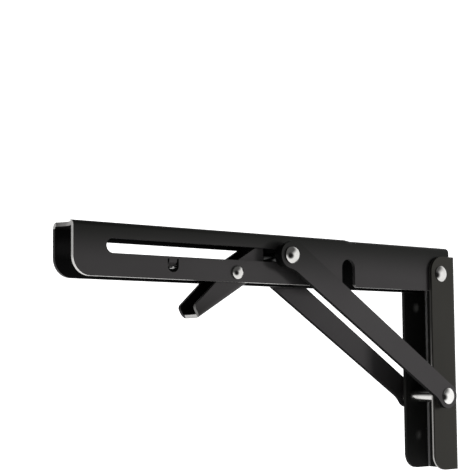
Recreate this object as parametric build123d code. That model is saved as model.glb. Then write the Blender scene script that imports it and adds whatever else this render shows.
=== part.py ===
from build123d import *

import os
from math import acos, atan2, cos, degrees, hypot, radians, sin, sqrt

# Folding shelf bracket, in millimetres.
# X points out of the wall, Z up, and Y across the bracket to its left side.
# Everything is drawn from the top pivot's height, then raised so that the origin lies on the wall
# face at the middle screw hole.

# Pressed sheet
sheet = 2.0
bend_radius = 1.0
edge_radius = 2.0

# Shelf arm
arm_reach = 250.0
arm_width = 20.0
arm_rise = 16.0
arm_drop = 9.8
arm_tail = 9.0
tip_radius = 9.0
tip_hollow = 3.2
rear_step = 0.6
rear_step_run = 4.0
shelf_hole = 5.2
shelf_hole_first = 30.0
shelf_hole_pitch = 88.0
shelf_hole_count = 3

# Wall channel
side_gap = 0.2
fold_gap = 0.6
wall_depth = 20.0
wall_foot = 112.0
ear_rise = 10.0
ear_radius = 9.0
foot_radius = 8.5
wall_hole = 5.2
wall_hole_first = 18.0
wall_hole_pitch = 37.0
wall_hole_count = 3

# Pins and rivets
pin_diameter = 5.0
pin_head = 9.0
pin_head_height = 2.2
head_rim = 0.2
fit_gap = 0.05
sleeve_wall = 0.95
face_gap = 0.1

# Lower pivot, where the brace turns on the wall channel
brace_pivot_drop = 70.0
brace_pivot_offset = 1.4
washer_thickness = 2.3
washer_diameter = 10.6

# Brace strips
strip_thickness = 2.5
strip_end_radius = 6.9
strip_under = 5.2
strip_over = 8.5
strip_blend = 14.0
strip_shoulder = 1.0

# Slide pin, where the brace runs in the arm's slots
slide_open = 114.5
slide_rise = 4.8
slot_height = 7.0
slot_gap = 0.1
slot_play_front = 11.0
slot_play_rear = 1.5
slide_rivet_diameter = 5.0
slide_rivet_head = 9.0
slide_rivet_height = 3.6
pass_gap = 0.4

# Notch in the arm that takes the lower pivot when it is folded
notch_gap = 0.4
notch_rear_gap = 1.9
notch_lip = 2.0

# Release lever
lever_gap = 0.3
lever_out = 144.2
lever_drop = 4.9
lever_slope = 31.0
lever_under = 8.8
lever_over = 4.5
lever_handle = 30.3
handle_rise = 6.7
handle_taper_from = -1.6
handle_corner = 2.5
handle_knee = 7.5
nose_corner = 0.6
latch_back = 18.2
lever_rivet_diameter = 4.5
lever_rivet_head = 7.0
lever_rivet_height = 2.9

# Lever spring
wire = 1.1
coil_gap = 0.7
coil_turns = 2
coil_pitch = 1.6
spring_foot = 14.0
spring_reach = 27.0
spring_lead = 4.7
wire_bend = 1.5

# Lanced window that holds the spring's fixed end
window_out = 183.0
window_width = 6.4
window_top = 0.2
window_height = 6.6
tongue_width = 4.4
tongue_length = 3.0
tongue_lean = 50.0

# Worked out from the sizes above
wall_width = arm_width + 2 * (side_gap + sheet)
pivot_x = sheet + fold_gap + arm_drop
arm_length = arm_reach - pivot_x
brace_pivot_x = pivot_x + brace_pivot_offset
strip_inner = wall_width / 2 + washer_thickness + 2 * face_gap
strip_outer = strip_inner + strip_thickness
slide_x = pivot_x + slide_open
brace_length = hypot(slide_x - brace_pivot_x, slide_rise + brace_pivot_drop)
folded_side = slide_rise - brace_pivot_offset
slide_folded = brace_pivot_drop + sqrt(brace_length ** 2 - folded_side ** 2)
slide_travel = slide_folded - slide_open
brace_rest_angle = degrees(atan2(slide_rise + brace_pivot_drop, slide_x - brace_pivot_x))
brace_fold_angle = brace_rest_angle + degrees(acos(folded_side / brace_length))
sleeve_radius = pin_diameter / 2 + fit_gap + sleeve_wall
lever_x = pivot_x + lever_out
lever_half = arm_width / 2 - sheet - lever_gap
spacer_radius = slide_rise + lever_drop - lever_rivet_head / 2 - pass_gap
window_x = pivot_x + window_out
screw_middle = wall_hole_first + wall_hole_pitch * (wall_hole_count - 1) / 2
tongue_bend = radians(tongue_lean)
tongue_low = window_top - sheet / 2 * (1 + sin(tongue_bend)) - tongue_length * cos(tongue_bend)


def side_plane(y):
    """The plane of a flange's face at Y = y: its own x is X, its own y is Z, and it looks towards -Y."""
    return Plane(origin=(0, y, 0), x_dir=(1, 0, 0), z_dir=(0, -1, 0))


def slab(face, low, high):
    """A face drawn in X and Z, given the thickness from Y = low to Y = high."""
    return extrude(side_plane(high) * face, high - low)


def round_pin(x, z, diameter, low, high):
    """A round bar across the bracket, from Y = low to Y = high."""
    return slab(Pos(x, z) * Circle(diameter / 2), low, high)


def tube(x, z, outside, bore, low, high):
    """A sleeve or washer across the bracket."""
    return slab(Pos(x, z) * (Circle(outside / 2) - Circle(bore / 2)), low, high)


def channel_section(width, depth, wall, inner_bend):
    """A bent channel's section: the web lies at y = 0 and the flanges hang down to y = -depth."""
    outer = Pos(0, -depth / 2) * Rectangle(width, depth)
    outer = fillet(outer.vertices().group_by(Axis.Y)[-1], inner_bend + wall)
    inner = Pos(0, -wall - depth / 2) * Rectangle(width - 2 * wall, depth)
    inner = fillet(inner.vertices().group_by(Axis.Y)[-1], inner_bend)
    return outer - inner


def domed_head(x, z, diameter, height, seat, side):
    """A rivet head: a round cap on a low rim, seated on a face at Y = seat on its own side."""
    radius = diameter / 2
    cap = height * (1 - head_rim)
    ball = (radius ** 2 + cap ** 2) / (2 * cap)
    head = Cylinder(radius, height, align=(Align.CENTER, Align.CENTER, Align.MIN))
    head &= Pos(0, 0, height - ball) * Sphere(ball)
    return Plane(origin=(x, side * seat, z), z_dir=(0, side, 0)).location * head


def rivet(x, z, diameter, head, height, seat):
    """A rivet right across the bracket, with a head on each side."""
    body = round_pin(x, z, diameter, -seat, seat)
    body += domed_head(x, z, head, height, seat, 1)
    body += domed_head(x, z, head, height, seat, -1)
    return body


def make_wall_channel():
    """The channel that is screwed to the wall, open to the room, with ears for the top pivot."""
    height = ear_rise + wall_foot
    plane = Plane(origin=(0, 0, -wall_foot), x_dir=(0, 1, 0), z_dir=(0, 0, 1))
    body = extrude(plane * channel_section(wall_width, wall_depth, sheet, bend_radius), height)
    outline = Pos(wall_depth / 2, (ear_rise - wall_foot) / 2) * Rectangle(wall_depth, height)
    front = outline.vertices().group_by(Axis.X)[-1].sort_by(Axis.Y)
    outline = fillet(front[1], min(ear_radius, wall_depth / 2))
    front = outline.vertices().group_by(Axis.Y)[0].sort_by(Axis.X)
    outline = fillet(front[-1], min(foot_radius, wall_depth / 2))
    body &= slab(outline, -wall_width, wall_width)
    for x, z in ((pivot_x, 0), (brace_pivot_x, -brace_pivot_drop)):
        body -= round_pin(x, z, pin_diameter + 2 * fit_gap, -wall_width, wall_width)
    for step in range(wall_hole_count):
        z = -wall_hole_first - step * wall_hole_pitch
        body -= Pos(sheet, 0, z) * Rot(0, 90, 0) * Cylinder(wall_hole / 2, 4 * sheet)
    return body


def arm_blank():
    """The arm's channel, web up, with a small step down where the rear part begins."""
    depth = arm_rise + arm_drop
    step_x = pivot_x + brace_pivot_drop
    front = channel_section(arm_width, depth, sheet, bend_radius)
    rear = channel_section(arm_width, depth - rear_step, sheet, bend_radius)

    def across(x, top):
        return Plane(origin=(x, 0, top), x_dir=(0, 1, 0), z_dir=(1, 0, 0))

    start = pivot_x - arm_tail
    low_top = arm_rise - rear_step
    ramp_start = step_x - rear_step_run
    body = extrude(across(start, low_top) * rear, ramp_start - start)
    body += loft([across(ramp_start, low_top) * rear, across(step_x, arm_rise) * front])
    body += extrude(across(step_x, arm_rise) * front, arm_reach - step_x)
    return body


def arm_outline():
    """The flanges' outline from the side: a large corner at the tip and a round tail about the pivot."""
    low = -arm_drop
    middle = ((pivot_x - arm_tail + arm_reach) / 2, (arm_rise + low) / 2)
    outline = Pos(*middle) * Rectangle(arm_length + arm_tail, arm_rise - low)
    bottom = outline.vertices().group_by(Axis.Y)[0].sort_by(Axis.X)
    outline = fillet(bottom[-1], tip_radius)
    bottom = outline.vertices().group_by(Axis.Y)[0].sort_by(Axis.X)
    outline = fillet(bottom[0], min(arm_tail, arm_drop) - fit_gap)
    top = outline.vertices().group_by(Axis.Y)[-1].sort_by(Axis.X)
    return fillet(top[0], edge_radius)


def notch_face():
    """The open notch over the lower pivot: straight sides, a round top and rounded lips."""
    front = pivot_x + brace_pivot_drop + sleeve_radius + notch_gap
    rear = pivot_x + brace_pivot_drop - sleeve_radius - notch_rear_gap
    top = brace_pivot_offset + sleeve_radius + notch_gap
    half = (front - rear) / 2
    middle = (front + rear) / 2
    low = -arm_drop
    face = Pos(middle, top - half) * Circle(half)
    face += Pos(middle, (top - half + low) / 2) * Rectangle(2 * half, top - half - low)
    for side in (-1, 1):
        lip = Pos(middle + side * (half + notch_lip / 2), low + notch_lip / 2) * Rectangle(notch_lip, notch_lip)
        lip -= Pos(middle + side * (half + notch_lip), low + notch_lip) * Circle(notch_lip)
        face += lip
    return face


def slot_face():
    """The long slot that the slide pin runs in, with round ends."""
    rear = slide_x - slot_play_rear
    front = pivot_x + slide_folded + slot_play_front
    middle = (rear + front) / 2
    return Pos(middle, slide_rise) * SlotCenterToCenter(front - rear, slot_height)


def window_face():
    """The lanced window: a flat top and a round bottom."""
    round_centre = window_top - window_height + window_width / 2
    face = Pos(window_x, round_centre) * Circle(window_width / 2)
    straight = window_top - round_centre
    return face + Pos(window_x, round_centre + straight / 2) * Rectangle(window_width, straight)


def window_tongue(side):
    """The tongue left by the lancing: it hangs from the window's top edge and leans inwards."""
    middle = arm_width / 2 - sheet / 2
    knee = (middle, window_top - sheet / 2)
    tip = (middle - tongue_length * sin(tongue_bend), knee[1] - tongue_length * cos(tongue_bend))
    path = FilletPolyline((middle, window_top + sheet / 2), knee, tip, radius=sheet / 2)
    face = trace(path, sheet)
    plane = Plane(origin=(window_x - tongue_width / 2, 0, 0), x_dir=(0, 1, 0), z_dir=(1, 0, 0))
    tongue = extrude(plane * face, tongue_width)
    if side < 0:
        tongue = mirror(tongue, Plane.XZ)
    return tongue


def make_shelf_arm():
    """The arm that carries the shelf: an upside-down channel with slots, notches and windows."""
    body = arm_blank()
    body &= slab(arm_outline(), -arm_width, arm_width)
    half = arm_width / 2 - sheet - bend_radius
    hollow = (half ** 2 + tip_hollow ** 2) / (2 * tip_hollow)
    body -= Pos(arm_reach - tip_hollow + hollow, 0, arm_rise) * Cylinder(hollow, 4 * sheet)
    body -= slab(slot_face() + notch_face() + window_face(), -arm_width, arm_width)
    body -= round_pin(pivot_x, 0, pin_diameter + 2 * fit_gap, -arm_width, arm_width)
    body -= round_pin(lever_x, -lever_drop, lever_rivet_diameter + 2 * fit_gap, -arm_width, arm_width)
    for step in range(shelf_hole_count):
        x = shelf_hole_first + step * shelf_hole_pitch
        body -= Pos(x, 0, arm_rise) * Cylinder(shelf_hole / 2, 4 * sheet)
    for side in (-1, 1):
        body += window_tongue(side)
    return body


def strip_face():
    """One brace strip from the side: a straight bar beside the line of its pins, with a round eye at each end."""
    eye_low = Circle(strip_end_radius)
    eye_high = Pos(brace_length, 0) * Circle(strip_end_radius)
    shoulder = Pos(brace_length - strip_shoulder, strip_over - strip_end_radius) * Circle(strip_end_radius)
    bar = make_face(Polyline((0, -strip_under), (brace_length, -strip_under),
                             (brace_length - strip_shoulder, strip_over), (0, strip_end_radius), (0, -strip_under)))
    face = eye_low + eye_high + shoulder + bar
    reach_low = sqrt(strip_end_radius ** 2 - strip_under ** 2)
    neck_low = face.vertices().sort_by_distance(Vector(reach_low, -strip_under, 0))[0]
    face = fillet(neck_low, strip_blend)
    neck_high = face.vertices().sort_by_distance(Vector(brace_length - reach_low, -strip_under, 0))[0]
    face = fillet(neck_high, strip_blend)
    face -= Circle(pin_diameter / 2 + fit_gap)
    face -= Pos(brace_length, 0) * Circle(slide_rivet_diameter / 2 + fit_gap)
    return face


def make_strip(side):
    """A brace strip in place, outside the wall channel."""
    low = strip_inner if side > 0 else -strip_outer
    placed = Pos(brace_pivot_x, -brace_pivot_drop) * Rot(0, 0, brace_rest_angle) * strip_face()
    return slab(placed, low, low + strip_thickness)


def make_slide_rivet(side):
    """The end of the slide pin that holds one strip: a domed head and the shank through the strip."""
    low = strip_inner if side > 0 else -strip_outer
    body = round_pin(slide_x, slide_rise, slide_rivet_diameter, low, low + strip_thickness)
    return body + domed_head(slide_x, slide_rise, slide_rivet_head, slide_rivet_height, strip_outer, side)


def make_slide_bush(side):
    """The flanged bush on the slide pin: its hub runs in the slot and its flange spaces the strip off the arm."""
    hub_inner = arm_width / 2 - sheet + face_gap
    flange_inner = arm_width / 2 + face_gap
    flange_outer = strip_inner - face_gap
    bore = slide_rivet_diameter + 2 * fit_gap
    hub = slot_height - 2 * slot_gap
    spans = ((hub, hub_inner, flange_inner), (2 * spacer_radius, flange_inner, flange_outer))
    body = Part()
    for outside, low, high in spans:
        if side < 0:
            low, high = -high, -low
        body += tube(slide_x, slide_rise, outside, bore, low, high)
    return body


def lever_plane(y):
    """The lever's own side plane: its x runs from the lever pin to the handle, its y away from the web."""
    slope = radians(lever_slope)
    return Plane(origin=(lever_x, y, -lever_drop), x_dir=(cos(slope), 0, -sin(slope)), z_dir=(0, -1, 0))


def lever_outline():
    """The lever's flanges from the side: a tapered handle, a straight back and a nose cut upright at the latch."""
    slope = radians(lever_slope)

    def latch(rise):
        return -(latch_back + rise * sin(slope)) / cos(slope)

    top = -lever_under + handle_rise
    points = [(latch(-lever_under), -lever_under), (lever_handle, -lever_under), (lever_handle, top),
              (handle_taper_from, lever_over), (latch(lever_over), lever_over)]
    face = make_face(Polyline(*points, points[0]))
    tip = face.vertices().sort_by_distance(Vector(lever_handle, top, 0))[0]
    face = fillet(tip, handle_corner)
    knee = face.vertices().sort_by_distance(Vector(handle_taper_from, lever_over, 0))[0]
    face = fillet(knee, handle_knee)
    nose = face.vertices().sort_by_distance(Vector(latch(lever_over), lever_over, 0))[0]
    return fillet(nose, nose_corner)


def make_release_lever():
    """The release lever: a narrow channel inside the arm, with a handle below and a latching nose above."""
    slope = radians(lever_slope)
    along = Vector(cos(slope), 0, -sin(slope))
    away = Vector(sin(slope), 0, cos(slope))
    pin = Vector(lever_x, 0, -lever_drop)
    back = 2 * latch_back
    start = pin - along * back - away * lever_under
    plane = Plane(origin=start, x_dir=(0, -1, 0), z_dir=along)
    section = channel_section(2 * lever_half, lever_under + lever_over, sheet, bend_radius)
    body = extrude(plane * section, back + lever_handle)
    body &= extrude(lever_plane(arm_width) * lever_outline(), 2 * arm_width)
    body -= round_pin(lever_x, -lever_drop, lever_rivet_diameter + 2 * fit_gap, -arm_width, arm_width)
    return body


def make_lever_spring():
    """The torsion spring on the lever's rivet: one end lies on the lever, the other hooks in the arm's window."""
    radius = lever_rivet_diameter / 2 + coil_gap + wire / 2
    slope = radians(lever_slope)
    length = (coil_turns + (180 - lever_slope) / 360) * coil_pitch
    side = length / 2
    place = Plane(origin=(lever_x, side, -lever_drop), x_dir=(0, 0, 1), z_dir=(0, -1, 0))
    coil = place.location * Helix(coil_pitch, length, radius)
    hook_z = tongue_low - face_gap - wire / 2
    inside = arm_width / 2 - sheet - wire
    start = coil @ 0
    end = coil @ 1
    fixed_end = FilletPolyline(Vector(window_x, arm_width / 2, hook_z), Vector(window_x, inside, hook_z),
                               start - (coil % 0) * spring_reach, start, radius=wire_bend)
    along = Vector(cos(slope), 0, -sin(slope))
    away = Vector(sin(slope), 0, cos(slope))
    rest = Vector(lever_x, end.Y, -lever_drop) + along * spring_foot
    rest -= away * (lever_under - sheet - wire / 2 - face_gap)
    moving_end = FilletPolyline(end, end + (coil % 1) * spring_lead, rest, radius=wire_bend)
    path = Wire([*fixed_end.edges(), *coil.edges(), *moving_end.edges()])
    return sweep(Plane(origin=path @ 0, z_dir=path % 0) * Circle(wire / 2), path=path, is_frenet=True)


def sleeve(x, z, reach):
    """A plain sleeve on a pin, from side to side of the space it keeps open."""
    return tube(x, z, 2 * sleeve_radius, pin_diameter + 2 * fit_gap, -reach, reach)


def make_washer(side):
    """The washer that keeps a strip off the wall channel."""
    low = wall_width / 2 + face_gap
    if side < 0:
        low = -low - washer_thickness
    return tube(brace_pivot_x, -brace_pivot_drop, washer_diameter, pin_diameter + 2 * fit_gap,
                low, low + washer_thickness)


parts = {
    "wall_channel": make_wall_channel(),
    "shelf_arm": make_shelf_arm(),
    "release_lever": make_release_lever(),
    "lever_spring": make_lever_spring(),
    "pivot_rivet": rivet(pivot_x, 0, pin_diameter, pin_head, pin_head_height, wall_width / 2),
    "pivot_sleeve": sleeve(pivot_x, 0, arm_width / 2 - sheet - face_gap),
    "brace_rivet": rivet(brace_pivot_x, -brace_pivot_drop, pin_diameter, pin_head, pin_head_height, strip_outer),
    "brace_sleeve": sleeve(brace_pivot_x, -brace_pivot_drop, wall_width / 2 - sheet - face_gap),
    "lever_rivet": rivet(lever_x, -lever_drop, lever_rivet_diameter, lever_rivet_head, lever_rivet_height,
                         arm_width / 2),
}
for name, side in (("left", 1), ("right", -1)):
    parts["brace_" + name] = make_strip(side)
    parts["slide_rivet_" + name] = make_slide_rivet(side)
    parts["slide_bush_" + name] = make_slide_bush(side)
    parts["brace_washer_" + name] = make_washer(side)

os.makedirs("parts", exist_ok=True)
for node, solid in parts.items():
    export_step(Pos(0, 0, screw_middle) * solid, os.path.join("parts", node + ".step"))

print("brace length", round(brace_length, 3), "turn", round(brace_fold_angle, 4))
print("slide travel", round(slide_travel, 4), "from", round(slide_x, 3), slide_rise + screw_middle)
print("pivot", pivot_x, screw_middle, "brace pivot", brace_pivot_x, screw_middle - brace_pivot_drop)
print("lever pivot", lever_x, screw_middle - lever_drop, "wall screws below the top pivot", screw_middle)
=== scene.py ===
from math import radians

import bpy
import numpy as np
from mathutils import Matrix, Vector


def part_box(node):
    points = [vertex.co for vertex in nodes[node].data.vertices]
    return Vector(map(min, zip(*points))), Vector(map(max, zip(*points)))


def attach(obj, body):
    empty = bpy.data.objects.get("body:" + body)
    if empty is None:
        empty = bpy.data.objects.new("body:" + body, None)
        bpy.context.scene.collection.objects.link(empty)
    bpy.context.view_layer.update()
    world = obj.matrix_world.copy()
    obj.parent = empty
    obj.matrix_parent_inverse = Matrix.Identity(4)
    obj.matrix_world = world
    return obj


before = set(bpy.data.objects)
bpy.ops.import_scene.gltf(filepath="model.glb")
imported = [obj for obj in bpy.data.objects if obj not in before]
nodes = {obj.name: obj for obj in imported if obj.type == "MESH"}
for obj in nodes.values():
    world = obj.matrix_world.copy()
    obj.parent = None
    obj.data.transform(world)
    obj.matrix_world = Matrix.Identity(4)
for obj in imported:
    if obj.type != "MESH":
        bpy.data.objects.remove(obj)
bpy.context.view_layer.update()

print("frame loaded:", len(nodes), "CAD nodes")


# a socket that can be added, scaled and so on, each step making its own Math node
class Value:
    def __init__(self, graph, socket):
        self.graph = graph
        self.socket = socket

    def __add__(self, other):
        return self.graph.maths("ADD", self, other)

    def __radd__(self, other):
        return self.graph.maths("ADD", other, self)

    def __sub__(self, other):
        return self.graph.maths("SUBTRACT", self, other)

    def __rsub__(self, other):
        return self.graph.maths("SUBTRACT", other, self)

    def __mul__(self, other):
        return self.graph.maths("MULTIPLY", self, other)

    def __rmul__(self, other):
        return self.graph.maths("MULTIPLY", other, self)

    def __pow__(self, other):
        return self.graph.maths("POWER", self, other)


# the node tree of one new material or world
class Graph:
    def __init__(self, owner):
        owner.use_nodes = True
        self.owner = owner
        self.tree = owner.node_tree
        self.tree.nodes.clear()

    # makes a node of a kind, with its settings and then its sockets, and gives one of its outputs
    def node(self, kind, settings=None, sockets=None, out=0):
        made = self.tree.nodes.new(kind)
        for key, value in (settings or {}).items():
            setattr(made, key, value)
        for key, value in (sockets or {}).items():
            if isinstance(value, Value):
                self.tree.links.new(value.socket, made.inputs[key])
            else:
                made.inputs[key].default_value = value
        return Value(self, made.outputs[out]) if made.outputs else None

    def maths(self, operation, first, second):
        return self.node("ShaderNodeMath", {"operation": operation}, {0: first, 1: second})

    # the point on the piece, in metres, in the piece's own axes
    def place(self):
        return self.node("ShaderNodeTexCoord", out=3)

    # the three parts of a vector
    def split(self, vector):
        parts = self.node("ShaderNodeSeparateXYZ", sockets={0: vector})
        return [Value(self, parts.socket.node.outputs[i]) for i in range(3)]

    def noise(self, vector, scale, detail=2.0, roughness=0.5):
        return self.node("ShaderNodeTexNoise", sockets={
            "Vector": vector, "Scale": scale, "Detail": detail, "Roughness": roughness})

    # a smooth step of value from low to high, running from start to end
    def ramp(self, value, low, high, start=0.0, end=1.0):
        return self.node("ShaderNodeMapRange", {"interpolation_type": "SMOOTHSTEP", "clamp": True}, {
            0: value, 1: low, 2: high, 3: start, 4: end})

    # two colours mixed by share
    def blend(self, share, first, second):
        return self.node("ShaderNodeMix", {"data_type": "RGBA"}, {0: share, 6: first, 7: second}, out=2)

    def stretched(self, vector, scale):
        return self.node("ShaderNodeVectorMath", {"operation": "MULTIPLY"}, {0: vector, 1: scale})

    def attribute(self, name):
        return self.node("ShaderNodeAttribute", {"attribute_name": name}, out=2)

    def bump(self, height, strength, distance):
        return self.node("ShaderNodeBump", sockets={"Height": height, "Strength": strength, "Distance": distance})

    def surface(self, sockets):
        shader = self.node("ShaderNodeBsdfPrincipled", sockets=sockets)
        self.node("ShaderNodeOutputMaterial", sockets={0: shader})
        return self.owner


# satin black coat over steel sheet:
# coat = dark and pale mixed by dust, a smooth step of slow noise; then faded by height to a darker tone, painted
# shade for light falling off towards one end, where the fade reaches lower by the bow x (distance from the
# middle)^2; then the inner skins take their own tone, painted shade, and the bend line a pale tone, a painted
# highlight;
# bare = cut face x smooth step along the bare direction x smooth step off at bareSide
# x (1 - grainWear + grainWear x fine grain), so the cut edges show steel where they are rubbed;
# roughness = base + dust x spread + grain x grainRoughness + inner skin x innerRoughness, and
# steelRoughness where it is bare; height = peel noise + grainHeight x grain
def blackCoat(name, settings):
    g = Graph(bpy.data.materials.new(name))
    point = g.place()
    axis = g.split(point)
    clouds = g.noise(point, settings["cloudScale"], detail=3.0)
    peel = g.noise(point, settings["peelScale"], roughness=0.4)
    grain = g.noise(point, settings["grainScale"], roughness=0.6)

    along = axis[0] * settings["bareAlong"][0] + axis[2] * settings["bareAlong"][2]
    rubbed = g.ramp(along, settings["bareFrom"], settings["bareTo"], settings["bareLeast"], 1.0)
    sideEnd = settings["bareSide"] + settings["bareSideFade"]
    rubbed = rubbed * g.ramp(axis[1], settings["bareSide"], sideEnd, 1.0, 0.0)
    worn = g.ramp(grain, settings["grainFrom"], settings["grainTo"])
    bare = g.attribute("cutFace") * rubbed * (worn * settings["grainWear"] + (1 - settings["grainWear"]))

    dust = g.ramp(clouds, settings["dustFrom"], settings["dustTo"])
    coat = g.blend(dust, settings["dark"], settings["pale"])
    # painted shade: the coat turns darker by height, and the bow makes the fade reach lower away from the middle
    shadeReach = (axis[0] - settings["paintedShadeMiddle"]) ** 2.0 * settings["paintedShadeBow"]
    coat = g.blend(g.ramp(axis[2] + shadeReach, settings["paintedShadeFrom"], settings["paintedShadeTo"]), coat, settings["paintedShadeTone"])
    # painted shade: the inner skins take their own tone in place of the coat
    coat = g.blend(g.attribute("innerSkin"), coat, settings["inside"])
    # painted highlight: a pale tone on the bend line
    coat = g.blend(g.attribute("paintedBendHighlight"), coat, settings["bend"])
    colour = g.blend(bare, coat, settings["steel"])

    coatRoughness = dust * settings["roughnessSpread"] + settings["roughness"] + grain * settings["grainRoughness"]
    coatRoughness = coatRoughness + g.attribute("innerSkin") * settings["innerRoughness"]
    roughness = coatRoughness * (1 - bare) + bare * settings["steelRoughness"]
    height = peel + grain * settings["grainHeight"]
    return g.surface({
        "Base Color": colour, "Metallic": bare, "Roughness": roughness, "IOR": settings["ior"],
        "Normal": g.bump(height, settings["bumpStrength"], settings["bumpDistance"])})


# polished plated steel:
# tarnish = smooth step of slow noise; colour = clean and dull mixed by tarnish;
# roughness = base + tarnish x spread + scratches x scratchRoughness, where the scratches are noise drawn
# out along one axis; height = dentShare x slow noise + scratchShare x scratches
def brightSteel(name, settings):
    g = Graph(bpy.data.materials.new(name))
    point = g.place()
    slow = g.noise(point, settings["dentScale"])
    drawnOut = g.stretched(point, settings["scratchStretch"])
    scratches = g.noise(drawnOut, settings["scratchScale"], detail=3.0, roughness=0.65)
    tarnish = g.ramp(slow, settings["dullFrom"], settings["dullTo"])
    colour = g.blend(tarnish, settings["clean"], settings["dull"])
    roughness = tarnish * settings["roughnessSpread"] + settings["roughness"]
    roughness = roughness + scratches * settings["scratchRoughness"]
    height = slow * settings["dentShare"] + scratches * settings["scratchShare"]
    return g.surface({
        "Base Color": colour, "Metallic": 1.0, "Roughness": roughness,
        "Normal": g.bump(height, settings["bumpStrength"], settings["bumpDistance"])})


# stores on each face what the rule gives for its normal and centre: 1 if picked, 0 if not
def markFaces(obj, name, rule):
    mesh = obj.data
    count = len(mesh.polygons)
    normal = np.empty(count * 3)
    centre = np.empty(count * 3)
    mesh.polygons.foreach_get("normal", normal)
    mesh.polygons.foreach_get("center", centre)
    picked = rule(normal.reshape(-1, 3), centre.reshape(-1, 3)).astype(np.float32)
    layer = mesh.attributes.new(name, "FLOAT", "FACE")
    layer.data.foreach_set("value", picked)
    print(name, "on", obj.name, np.count_nonzero(picked), "of", count)


# a turned, closed surface about the Y or Z direction through centre, from (along, radius) pairs;
# about Z a point is (radius x cos turn, radius x sin turn, along), about Y (radius x cos turn, along,
# -radius x sin turn), and a cap closes each end
def lathe(name, profile, centre, segments, axis):
    rings = np.asarray(profile, float)
    turn = np.linspace(0, 2 * np.pi, segments, endpoint=False)
    along, radius = rings[:, :1] + 0 * turn, rings[:, 1:]
    first, second = radius * np.cos(turn), radius * np.sin(turn)
    points = np.stack([first, along, -second] if axis == "Y" else [first, second, along], axis=-1)
    points = points.reshape(-1, 3) + np.asarray(centre)
    ring, step = np.meshgrid(np.arange(len(rings) - 1), np.arange(segments), indexing="ij")
    here = ring * segments + step
    beside = ring * segments + (step + 1) % segments
    faces = np.stack([here, beside, beside + segments, here + segments], axis=-1).reshape(-1, 4)
    firstRing = np.arange(segments)
    caps = [firstRing[::-1].tolist(), (firstRing + (len(rings) - 1) * segments).tolist()]
    mesh = bpy.data.meshes.new(name)
    mesh.from_pydata(points.tolist(), [], faces.tolist() + caps)
    mesh.polygons.foreach_set("use_smooth", np.arange(len(faces) + len(caps)) < len(faces))
    mesh.update()
    obj = bpy.data.objects.new(name, mesh)
    bpy.context.scene.collection.objects.link(obj)
    return obj


# rules for the faces of a CAD piece, from their normals n and centres c in metres:
# a flange or strip has faces with a small Y normal only on its edges, ends and holes
edgeNormal = 0.3


def onEdge(n):
    return abs(n[:, 1]) < edgeNormal


# the faces that look into a channel whose inner half width is reach
def facesInside(n, c, reach):
    return (abs(c[:, 1]) < reach) & (n[:, 1] * c[:, 1] <= 0)


def nowhere(n, c):
    return np.zeros(len(n), bool)


def between(values, low, high):
    return (values > low) & (values < high)


# marks the cut faces, inner skins and the bend line for a painted highlight of a CAD piece and gives it its black
# coat
def coatPiece(nodeName, settings, cut=nowhere, inner=nowhere, bend=nowhere):
    piece = nodes[nodeName]
    markFaces(piece, "cutFace", cut)
    markFaces(piece, "innerSkin", inner)
    markFaces(piece, "paintedBendHighlight", bend)
    piece.data.materials.clear()
    piece.data.materials.append(blackCoat(nodeName + "Coat", settings))


print("coats")
# what the coated pieces share: no painted shade by height (it starts above them all) and nothing bare at the side;
# the inner-skin tone is painted shade and the pale bend tone a painted highlight
coatBasics = {
    "dark": (0.0335, 0.0315, 0.0320, 1), "pale": (0.0370, 0.0350, 0.0355, 1),
    "paintedShadeTone": (0.0035, 0.004, 0.003, 1), "paintedShadeFrom": 0.5, "paintedShadeTo": 0.6, "paintedShadeMiddle": 0.15, "paintedShadeBow": 0.0,
    "inside": (0.006, 0.006, 0.006, 1), "innerRoughness": 0.0, "bend": (0.45, 0.45, 0.45, 1),
    "steel": (0.8, 0.79, 0.77, 1), "steelRoughness": 0.3,
    "bareAlong": (1, 0, 0), "bareSide": 1.0, "bareSideFade": 0.0003,
    "roughness": 0.32, "roughnessSpread": 0.06, "ior": 1.21,
    "cloudScale": 28.0, "dustFrom": 0.35, "dustTo": 0.75, "peelScale": 900.0,
    "grainScale": 3200.0, "grainFrom": 0.3, "grainTo": 0.7, "grainWear": 0.25, "grainRoughness": 0.04,
    "grainHeight": 0.1, "bumpStrength": 0.2, "bumpDistance": 0.00003,
}

# painted shade by height: the arm darkens towards its top bend, and more towards both ends
armCoat = dict(
    coatBasics, bareFrom=0.08, bareTo=0.12, bareLeast=0.25,
    paintedShadeFrom=0.052, paintedShadeTo=0.0735, paintedShadeBow=0.15, innerRoughness=0.5)
armFaces = {
    "nearSkin": 0.0079, "frontEdge": 0.2405, "lowEdge": 0.0465, "webLow": 0.0675, "webFrontNormal": 0.3,
    "innerHalf": 0.0081, "topNormal": 0.5, "endNormal": 0.9, "slot": (0.1, 0.24), "slotHeight": (0.048, 0.066),
}


# the near flange's front and lower edges, and the web's front edge
def armCut(n, c):
    edge = onEdge(n) & (c[:, 1] > armFaces["nearSkin"])
    edge &= (c[:, 0] > armFaces["frontEdge"]) | (c[:, 2] < armFaces["lowEdge"])
    web = c[:, 2] > armFaces["webLow"]
    return (edge & ~web) | (web & (n[:, 0] > armFaces["webFrontNormal"]))


# the inside, without the web's top and front faces, and the walls of the slots
def armInner(n, c):
    skin = facesInside(n, c, armFaces["innerHalf"])
    skin &= (n[:, 2] < armFaces["topNormal"]) & (n[:, 0] < armFaces["endNormal"])
    return skin | (onEdge(n) & between(c[:, 0], *armFaces["slot"]) & between(c[:, 2], *armFaces["slotHeight"]))


coatPiece("shelf_arm", armCoat, cut=armCut, inner=armInner)

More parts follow.
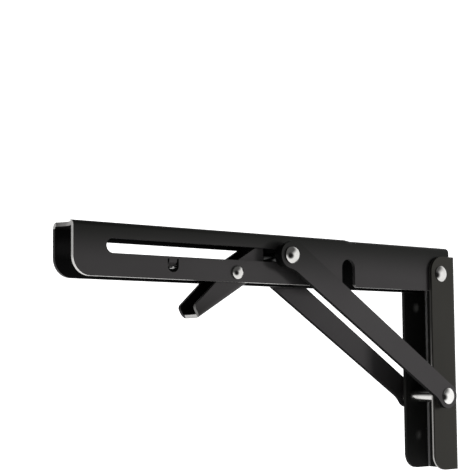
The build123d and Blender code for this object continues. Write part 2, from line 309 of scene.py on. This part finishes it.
# on the wall channel the inner-skin tone is lighter than the coat, a painted lift of the shade in its inside
wallCoat = dict(
    coatBasics, dark=(0.0205, 0.0195, 0.0165, 1), pale=(0.0232, 0.0222, 0.0190, 1),
    inside=(0.028, 0.028, 0.027, 1), innerRoughness=0.5, steel=(0.6, 0.59, 0.57, 1),
    bareAlong=(0, 0, -1), bareFrom=-0.03, bareTo=0.012, bareLeast=0.12, bareSide=0.0110)
wallFaces = {
    "offWall": 0.003, "farOffWall": 0.0035, "innerHalf": 0.0103, "backNormal": -0.5,
    "bendAcross": 0.0097, "bendHalf": 0.0006, "bendOut": (0.002, 0.0031), "bendNormal": 0.2,
}


# the near flange's edges
def wallCut(n, c):
    return onEdge(n) & (c[:, 0] > wallFaces["offWall"]) & (c[:, 1] > 0)


# the inside and the far flange's edges
def wallInner(n, c):
    skin = facesInside(n, c, wallFaces["innerHalf"]) & (n[:, 0] > wallFaces["backNormal"])
    return skin | (onEdge(n) & (c[:, 0] > wallFaces["farOffWall"]) & (c[:, 1] < 0))


# the inner radius between the web and the far flange, where a pale painted highlight stands in for the thin line
# of light it catches
def wallBendHighlight(n, c):
    radius = abs(c[:, 1] + wallFaces["bendAcross"]) < wallFaces["bendHalf"]
    radius &= between(c[:, 0], *wallFaces["bendOut"])
    return radius & (n[:, 0] > wallFaces["bendNormal"]) & (n[:, 1] > wallFaces["bendNormal"])


coatPiece("wall_channel", wallCoat, cut=wallCut, inner=wallInner, bend=wallBendHighlight)

# the handle also takes painted shade by height, darker towards its lower end
leverCoat = dict(
    coatBasics, dark=(0.031, 0.029, 0.0295, 1), pale=(0.034, 0.032, 0.0325, 1),
    bareFrom=0.17, bareTo=0.18, bareLeast=0.05, paintedShadeFrom=0.041, paintedShadeTo=0.020)
leverFaces = {"slope": 31.0, "endNormal": 0.5, "nearSkin": 0.0055, "nearShare": 0.28, "webFrom": -0.005,
              "webShare": 0.8, "innerHalf": 0.0058}


# the handle's end: the near flange's edge a little bare, the web's edge much more, the far one coated
def leverCut(n, c):
    slope = radians(leverFaces["slope"])
    end = n @ np.array([np.cos(slope), 0, -np.sin(slope)]) > leverFaces["endNormal"]
    web = leverFaces["webShare"] * (c[:, 1] > leverFaces["webFrom"])
    return end * np.where(c[:, 1] > leverFaces["nearSkin"], leverFaces["nearShare"], web)


coatPiece("release_lever", leverCoat, cut=leverCut,
          inner=lambda n, c: facesInside(n, c, leverFaces["innerHalf"]))

# painted shade by height: the strips darken towards their top
stripCoat = dict(
    coatBasics, dark=(0.0375, 0.0352, 0.0360, 1), pale=(0.0415, 0.0392, 0.0400, 1),
    inside=(0.002, 0.002, 0.002, 1), innerRoughness=0.5,
    bareFrom=0.4, bareTo=0.5, bareLeast=0.04, paintedShadeFrom=0.038, paintedShadeTo=0.074)
# the strips' edges are marked as inner skins and painted near black, painted shade for the unlit edges
for nodeName in ("brace_left", "brace_right"):
    coatPiece(nodeName, stripCoat, inner=lambda n, c: onEdge(n))

# the slide bushes are black, and their tone is darkened past the coat as painted shade where they sit in the slot
shadedBushCoat = dict(
    coatBasics, dark=(0.005, 0.005, 0.005, 1), pale=(0.006, 0.006, 0.006, 1),
    bareFrom=-1.0, bareTo=-0.9, bareLeast=0.9)
for nodeName in ("slide_bush_left", "slide_bush_right"):
    coatPiece(nodeName, shadedBushCoat)

print("bright metal")
steelBasics = {
    "clean": (0.78, 0.77, 0.75, 1), "dull": (0.66, 0.65, 0.63, 1), "dullFrom": 0.4, "dullTo": 0.7,
    "roughness": 0.1, "roughnessSpread": 0.05, "scratchRoughness": 0.06,
    "dentScale": 160.0, "dentShare": 0.6, "scratchScale": 900.0, "scratchStretch": (1, 0.15, 1),
    "scratchShare": 0.4, "bumpStrength": 0.05, "bumpDistance": 0.00002,
}
# the brace rivet takes a lighter copy of the rivet steel, a painted highlight for its bright head
highlightRivetSteel = dict(steelBasics, clean=(0.97, 0.96, 0.94, 1), dull=(0.9, 0.89, 0.87, 1))
sleeveSteel = dict(steelBasics, scratchStretch=(1, 6, 1), roughness=0.18)
# the spring wire takes a darker copy of the steel, painted shade for the spring inside the lever's channel
shadedWireSteel = dict(
    steelBasics, clean=(0.4, 0.4, 0.39, 1), dull=(0.3, 0.3, 0.29, 1), roughness=0.3, scratchStretch=(1, 1, 1))
bright = {
    "pivot_rivet": steelBasics, "brace_rivet": highlightRivetSteel, "lever_rivet": steelBasics,
    "slide_rivet_left": steelBasics, "slide_rivet_right": steelBasics, "pivot_sleeve": sleeveSteel,
    "brace_sleeve": sleeveSteel, "brace_washer_left": sleeveSteel, "brace_washer_right": sleeveSteel,
    "lever_spring": shadedWireSteel,
}
for nodeName, settings in bright.items():
    piece = nodes[nodeName]
    piece.data.materials.clear()
    piece.data.materials.append(brightSteel(nodeName + "Steel", settings))

# the slide pin's length between the strips, with a small chamfer at each end; it lies in shade, and its near-black
# steel is painted shade
shadedPinSteel = dict(sleeveSteel, clean=(0.05, 0.05, 0.05, 1), dull=(0.03, 0.03, 0.03, 1))
bushLow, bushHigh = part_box("slide_bush_left")
pinShape = {"radius": 0.0025, "half": bushHigh.y, "chamfer": 0.0003, "capRadius": 0.0002, "segments": 64}


# one half of the pin's outline, then the same mirrored
def pinProfile(shape):
    half, radius, chamfer = shape["half"], shape["radius"], shape["chamfer"]
    outline = np.array([(-half, shape["capRadius"]), (-half, radius - chamfer), (-half + chamfer, radius)])
    return np.concatenate([outline, outline[::-1] * (-1, 1)])


pinCentre = ((bushLow.x + bushHigh.x) / 2, 0.0, (bushLow.z + bushHigh.z) / 2)
slidePin = lathe("slidePin", pinProfile(pinShape), pinCentre, pinShape["segments"], "Y")
slidePin.data.materials.append(brightSteel("slidePinShadedSteel", shadedPinSteel))
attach(slidePin, "slider")

print("stage")
stageShape = {"centre": (0.1, 0, 0), "floor": -1.0, "radius": 1.9, "bend": 0.7, "top": 2.4,
              "capRadius": 0.001, "steps": 24, "segments": 96}
paper = {"tone": (0.97, 0.97, 0.97, 1), "light": (1, 1, 1, 1), "grainScale": 60.0, "roughness": 0.9, "glow": 1.05}


# a flat floor that turns up on a quarter circle into an upright wall and closes over the top
def bowlProfile(shape):
    turn = np.linspace(0, np.pi / 2, shape["steps"])
    bend, wide = shape["bend"], shape["radius"]
    lower = np.stack([shape["floor"] + bend * (1 - np.cos(turn)), wide - bend + bend * np.sin(turn)], axis=-1)
    upper = np.stack([shape["top"] - bend + bend * np.sin(turn), wide - bend + bend * np.cos(turn)], axis=-1)
    cap = shape["capRadius"]
    return np.concatenate([[(shape["floor"], cap)], lower, upper, [(shape["top"], cap)]])


# paper that glows by itself: tone and light mixed by fine noise
def palePaper(name, settings):
    g = Graph(bpy.data.materials.new(name))
    tone = g.blend(g.noise(g.place(), settings["grainScale"]), settings["tone"], settings["light"])
    return g.surface({"Base Color": tone, "Roughness": settings["roughness"], "Emission Color": tone,
                      "Emission Strength": settings["glow"]})


backdrop = lathe("backdrop", bowlProfile(stageShape), stageShape["centre"], stageShape["segments"], "Z")
backdrop.data.materials.append(palePaper("palePaper", paper))
# the paper is only seen; the light of the tent comes from the world below
for kind in ("diffuse", "glossy", "transmission", "volume_scatter", "shadow"):
    setattr(backdrop, "visible_" + kind, False)

studio = {"bright": 1.0, "ceiling": 0.1, "ceilingFrom": 0.0, "ceilingTo": 0.7, "ceilingLean": 0.5,
          "opening": 0.01, "openingTurn": 36.0, "openingDrop": 12.0, "openingHalf": 50.0, "openingEdge": 18.0}


# a light tent as a world: a bright wall and floor, a ceiling that is dim towards the room, and a dark
# opening on the camera's side; each part is a plain background, mixed in by the direction:
# ceiling = smooth step of (rise + out x lean); opening = smooth step of the cosine of the angle from its middle
def lightTent(settings):
    g = Graph(bpy.data.worlds.new("studio"))
    direction = g.node("ShaderNodeTexCoord")
    out, across, rise = g.split(direction)

    def plain(value):
        return g.node("ShaderNodeBackground", sockets={"Color": (1, 1, 1, 1), "Strength": value})

    def mix(share, first, second):
        return g.node("ShaderNodeMixShader", sockets={0: share, 1: first, 2: second})

    overhead = g.ramp(rise + out * settings["ceilingLean"], settings["ceilingFrom"], settings["ceilingTo"])
    tent = mix(overhead, plain(settings["bright"]), plain(settings["ceiling"]))
    turn, drop = radians(settings["openingTurn"]), radians(settings["openingDrop"])
    facing = out * (np.sin(turn) * np.cos(drop)) + across * (np.cos(turn) * np.cos(drop)) - rise * np.sin(drop)
    opening = g.ramp(facing, np.cos(radians(settings["openingHalf"])), np.cos(radians(settings["openingEdge"])))
    tent = mix(opening, tent, plain(settings["opening"]))
    g.node("ShaderNodeOutputWorld", sockets={0: tent})
    return g.owner


bpy.context.scene.world = lightTent(studio)

sideLamp = {"place": (-0.95, 1.06, 0.1), "target": (0.12, 0, 0.02), "size": 0.25, "power": 20.0}


# a square soft light that shines from its place towards its target and isn't mirrored in the metal
def softLight(name, settings):
    lamp = bpy.data.lights.new(name, "AREA")
    lamp.shape = "SQUARE"
    lamp.size = settings["size"]
    lamp.energy = settings["power"]
    place, target = Vector(settings["place"]), Vector(settings["target"])
    obj = bpy.data.objects.new(name, lamp)
    obj.location = place
    obj.rotation_euler = (target - place).to_track_quat("-Z", "Y").to_euler()
    obj.visible_glossy = False
    bpy.context.scene.collection.objects.link(obj)


softLight("sideLight", sideLamp)

print("camera")
# yaw, pitch and roll in radians, place in metres, focal and middle in pixels of a frame that wide
view = {"yaw": 0.6366, "pitch": 0.0703, "roll": -0.0092, "place": (0.505116, 0.479073, 0.002567),
        "focal": 1163.56, "middle": (235.0, 285.0), "frame": 470.0, "sensor": 36.0, "nearest": 0.01}
yaw, pitch, roll = view["yaw"], view["pitch"], view["roll"]
right = Vector((-np.cos(yaw), np.sin(yaw), 0))
ahead = Vector((-np.sin(yaw), -np.cos(yaw), 0))
upward = Vector((0, 0, 1))
ahead, upward = ahead * np.cos(pitch) + upward * np.sin(pitch), upward * np.cos(pitch) - ahead * np.sin(pitch)
right, upward = right * np.cos(roll) + upward * np.sin(roll), upward * np.cos(roll) - right * np.sin(roll)
lens = bpy.data.cameras.new("camera")
lens.sensor_width = view["sensor"]
lens.lens = view["focal"] / view["frame"] * lens.sensor_width
lens.shift_x = (view["frame"] / 2 - view["middle"][0]) / view["frame"]
lens.shift_y = (view["middle"][1] - view["frame"] / 2) / view["frame"]
lens.clip_start = view["nearest"]
camera = bpy.data.objects.new("camera", lens)
camera.matrix_world = Matrix.Translation(view["place"]) @ Matrix((right, upward, -ahead)).transposed().to_4x4()
bpy.context.scene.collection.objects.link(camera)
bpy.context.scene.camera = camera
bpy.context.scene.view_settings.view_transform = "Standard"

bpy.context.view_layer.update()
print("done")
